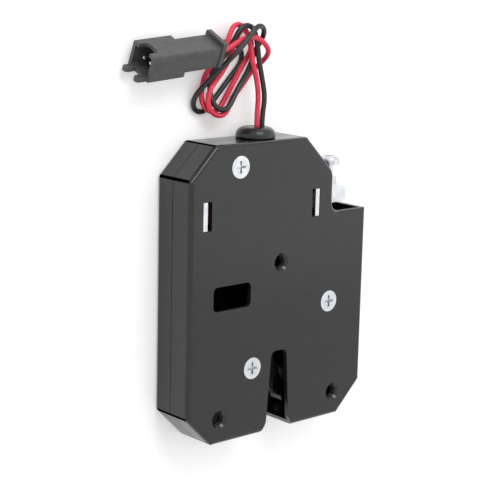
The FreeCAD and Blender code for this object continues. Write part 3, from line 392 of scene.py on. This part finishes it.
def make_light():
    world = bpy.data.worlds.new("studio")
    world.use_nodes = True
    background = world.node_tree.nodes["Background"]
    background.inputs["Color"].default_value = (1, 1, 1, 1)
    lift = lifted(world.node_tree, SKY, SKY_LIFT)
    world.node_tree.links.new(lift, background.inputs["Strength"])
    bpy.context.scene.world = world
    for name, (place, aim, width, power) in LAMPS.items():
        area_light(name, place, aim, width, power)
    bpy.context.scene.view_settings.view_transform = "Standard"


# Finishes

# Most of what a noise texture gives lies between these.
NOISE_LOW = 0.3
NOISE_HIGH = 0.7


class Finish:
    """One material: a principled shader whose colour, roughness and bump come from nodes."""

    def __init__(self, name, colour, roughness, metallic=0.0, **plain):
        self.material = bpy.data.materials.new(name)
        self.material.use_nodes = True
        self.tree = self.material.node_tree
        self.shader = self.tree.nodes["Principled BSDF"]
        self.shader.inputs["Base Color"].default_value = (*colour, 1)
        self.shader.inputs["Roughness"].default_value = roughness
        self.shader.inputs["Metallic"].default_value = metallic
        for socket, value in plain.items():
            self.shader.inputs[socket.replace("_", " ")].default_value = value
        self.places = self.tree.nodes.new("ShaderNodeTexCoord").outputs["Object"]

    def stretched(self, scale):
        """The object's coordinates, stretched to make long marks."""
        mapping = self.tree.nodes.new("ShaderNodeMapping")
        mapping.inputs["Scale"].default_value = scale
        self.tree.links.new(self.places, mapping.inputs["Vector"])
        return mapping.outputs["Vector"]

    def noise(self, size, detail=3.0, scale=(1, 1, 1)):
        """Noise with marks about the given size in metres."""
        noise = self.tree.nodes.new("ShaderNodeTexNoise")
        noise.inputs["Scale"].default_value = 1 / size
        noise.inputs["Detail"].default_value = detail
        self.tree.links.new(self.stretched(scale), noise.inputs["Vector"])
        return noise.outputs["Fac"]

    def ramp(self, value, stops):
        """Turns a value into colours between the stops, each a place and a colour."""
        ramp = self.tree.nodes.new("ShaderNodeValToRGB")
        while len(ramp.color_ramp.elements) < len(stops):
            ramp.color_ramp.elements.new(0.5)
        for element, (place, colour) in zip(ramp.color_ramp.elements, stops):
            element.position = place
            element.color = (*colour, 1)
        self.tree.links.new(value, ramp.inputs["Fac"])
        return ramp.outputs["Color"]

    def spread(self, value, low, high):
        """Turns a noise texture's value into one from low to high."""
        spread = self.tree.nodes.new("ShaderNodeMapRange")
        spread.inputs["From Min"].default_value = NOISE_LOW
        spread.inputs["From Max"].default_value = NOISE_HIGH
        spread.inputs["To Min"].default_value = low
        spread.inputs["To Max"].default_value = high
        self.tree.links.new(value, spread.inputs["Value"])
        return spread.outputs["Result"]

    def colour(self, value, stops):
        self.tree.links.new(self.ramp(value, stops), self.shader.inputs["Base Color"])

    def roughness(self, value, low, high):
        self.tree.links.new(self.spread(value, low, high), self.shader.inputs["Roughness"])

    def bump(self, value, height, strength=1.0):
        """Raises the surface by up to the given height in metres."""
        bump = self.tree.nodes.new("ShaderNodeBump")
        bump.inputs["Distance"].default_value = height
        bump.inputs["Strength"].default_value = strength
        self.tree.links.new(value, bump.inputs["Height"])
        self.tree.links.new(bump.outputs["Normal"], self.shader.inputs["Normal"])

    def rings(self, pitch, axis):
        """Even ridges across an axis, the given distance apart."""
        wave = self.tree.nodes.new("ShaderNodeTexWave")
        wave.wave_type = "BANDS"
        wave.bands_direction = axis
        wave.inputs["Scale"].default_value = math.pi / (10 * pitch)
        self.tree.links.new(self.places, wave.inputs["Vector"])
        return wave.outputs["Fac"]


def black_coat():
    """Thin glossy black coat on sheet steel, almost without grain."""
    finish = Finish("black_coat", (0.011, 0.011, 0.012), 0.15, Specular_IOR_Level=0.5)
    finish.colour(
        finish.noise(1.2 * MM), [(0.35, (0.009, 0.009, 0.010)), (0.65, (0.013, 0.013, 0.014))]
    )
    finish.roughness(finish.noise(4 * MM), 0.14, 0.18)
    finish.bump(finish.noise(0.8 * MM, 2.0), 0.002 * MM, 0.4)
    return finish.material


def bright_zinc():
    """Bright zinc with a cool cast, faintly uneven."""
    finish = Finish("bright_zinc", (0.68, 0.70, 0.72), 0.24, 1.0)
    finish.colour(
        finish.noise(2 * MM), [(0.35, (0.60, 0.62, 0.65)), (0.65, (0.71, 0.73, 0.75))]
    )
    finish.roughness(finish.noise(0.8 * MM), 0.18, 0.32)
    finish.bump(finish.noise(0.4 * MM, 2.0), 0.006 * MM, 0.6)
    return finish.material


def black_steel():
    """Blackened steel of the hook, faintly ground along its faces."""
    finish = Finish("black_steel", (0.09, 0.09, 0.095), 0.30, 1.0)
    marks = finish.noise(0.5 * MM, 3.0, (1.0, 0.12, 1.0))
    finish.colour(marks, [(0.3, (0.07, 0.07, 0.075)), (0.7, (0.12, 0.12, 0.125))])
    finish.roughness(marks, 0.24, 0.38)
    finish.bump(marks, 0.004 * MM, 0.6)
    return finish.material


def spring_wire():
    finish = Finish("spring_wire", (0.55, 0.56, 0.58), 0.28, 1.0)
    finish.roughness(finish.noise(0.4 * MM), 0.22, 0.38)
    finish.bump(finish.noise(0.15 * MM, 2.0), 0.004 * MM, 0.5)
    return finish.material


def soft_iron():
    finish = Finish("soft_iron", (0.46, 0.47, 0.49), 0.38, 1.0)
    finish.colour(
        finish.noise(1.5 * MM), [(0.3, (0.38, 0.39, 0.41)), (0.7, (0.54, 0.55, 0.57))]
    )
    finish.roughness(finish.noise(0.6 * MM), 0.30, 0.46)
    finish.bump(finish.noise(0.2 * MM, 2.0), 0.005 * MM, 0.5)
    return finish.material


def bobbin_plastic():
    finish = Finish("bobbin_plastic", (0.022, 0.022, 0.024), 0.45, Specular_IOR_Level=0.45)
    finish.colour(
        finish.noise(3 * MM), [(0.3, (0.018, 0.018, 0.020)), (0.7, (0.028, 0.028, 0.030))]
    )
    finish.bump(finish.noise(0.3 * MM, 2.0), 0.008 * MM, 0.5)
    return finish.material


def copper_winding():
    """Enamelled copper wire, turn beside turn, with painted shade darkening the grooves between
    turns.
    """
    finish = Finish("copper_winding", (0.45, 0.16, 0.06), 0.30, 0.9)
    turns_and_groove_shade = finish.rings(0.22 * MM, "X")
    # Painted shade: the colour runs dark where the ridges sink into the grooves between turns.
    finish.colour(turns_and_groove_shade, [(0.1, (0.22, 0.07, 0.03)), (0.6, (0.60, 0.24, 0.10))])
    finish.bump(turns_and_groove_shade, 0.05 * MM, 1.0)
    return finish.material


def black_rubber():
    """The grommet's rubber: a soft sheen and a very fine moulded grain."""
    finish = Finish("black_rubber", (0.014, 0.014, 0.015), 0.27, Specular_IOR_Level=0.5)
    finish.colour(
        finish.noise(2.5 * MM), [(0.3, (0.011, 0.011, 0.012)), (0.7, (0.018, 0.018, 0.019))]
    )
    finish.roughness(finish.noise(1.2 * MM), 0.22, 0.32)
    finish.bump(finish.noise(0.3 * MM, 3.0), 0.005 * MM, 0.7)
    return finish.material


def plug_plastic():
    """Moulded plug body: nearly matt dark grey with a fine grain."""
    finish = Finish("plug_plastic", (0.035, 0.036, 0.038), 0.50, Specular_IOR_Level=0.5)
    finish.colour(
        finish.noise(2 * MM), [(0.3, (0.055, 0.055, 0.056)), (0.7, (0.078, 0.078, 0.079))]
    )
    finish.roughness(finish.noise(1.0 * MM), 0.42, 0.58)
    finish.bump(finish.noise(0.22 * MM, 3.0), 0.012 * MM, 0.7)
    return finish.material


def tinned_brass():
    finish = Finish("tinned_brass", (0.70, 0.69, 0.64), 0.26, 1.0)
    finish.roughness(finish.noise(0.5 * MM), 0.20, 0.36)
    finish.bump(finish.noise(0.2 * MM, 2.0), 0.004 * MM, 0.5)
    return finish.material


def wire_skin(name, dark, light):
    """Soft, slightly uneven insulation, between a darker and a lighter colour."""
    finish = Finish(name, light, 0.33, Specular_IOR_Level=0.5)
    finish.colour(finish.noise(2.0 * MM), [(0.3, dark), (0.7, light)])
    finish.roughness(finish.noise(1.0 * MM), 0.26, 0.40)
    finish.bump(finish.noise(0.5 * MM, 2.0), 0.015 * MM, 0.5)
    return finish.material


def paint_nodes():
    """Every node of the lock gets the finish of its record slot."""
    coat = black_coat()
    zinc = bright_zinc()
    finishes = {
        "case_rear": coat,
        "case_front": coat,
        "pillar": zinc,
        "screw": zinc,
        "hook": black_steel(),
        "spring": spring_wire(),
        "lever": zinc,
        "yoke": zinc,
        "core": soft_iron(),
        "bobbin": bobbin_plastic(),
        "winding": copper_winding(),
        "grommet": black_rubber(),
        "wire_red": wire_skin("red_insulation", (0.66, 0.022, 0.060), (0.80, 0.036, 0.085)),
        "wire_black": wire_skin("black_insulation", (0.009, 0.010, 0.010), (0.015, 0.016, 0.016)),
        "plug": plug_plastic(),
        "contact": tinned_brass(),
    }
    for part in frame["record"]["subparts"]:
        piece = frame["nodes"][part["node"]]
        for holder in piece.material_slots:
            holder.material = finishes[part["material_slot"]]
    return finishes


make_camera()
make_floor()
make_light()
painted = paint_nodes()
make_wires(painted)
make_threads(painted)

bpy.context.view_layer.update()
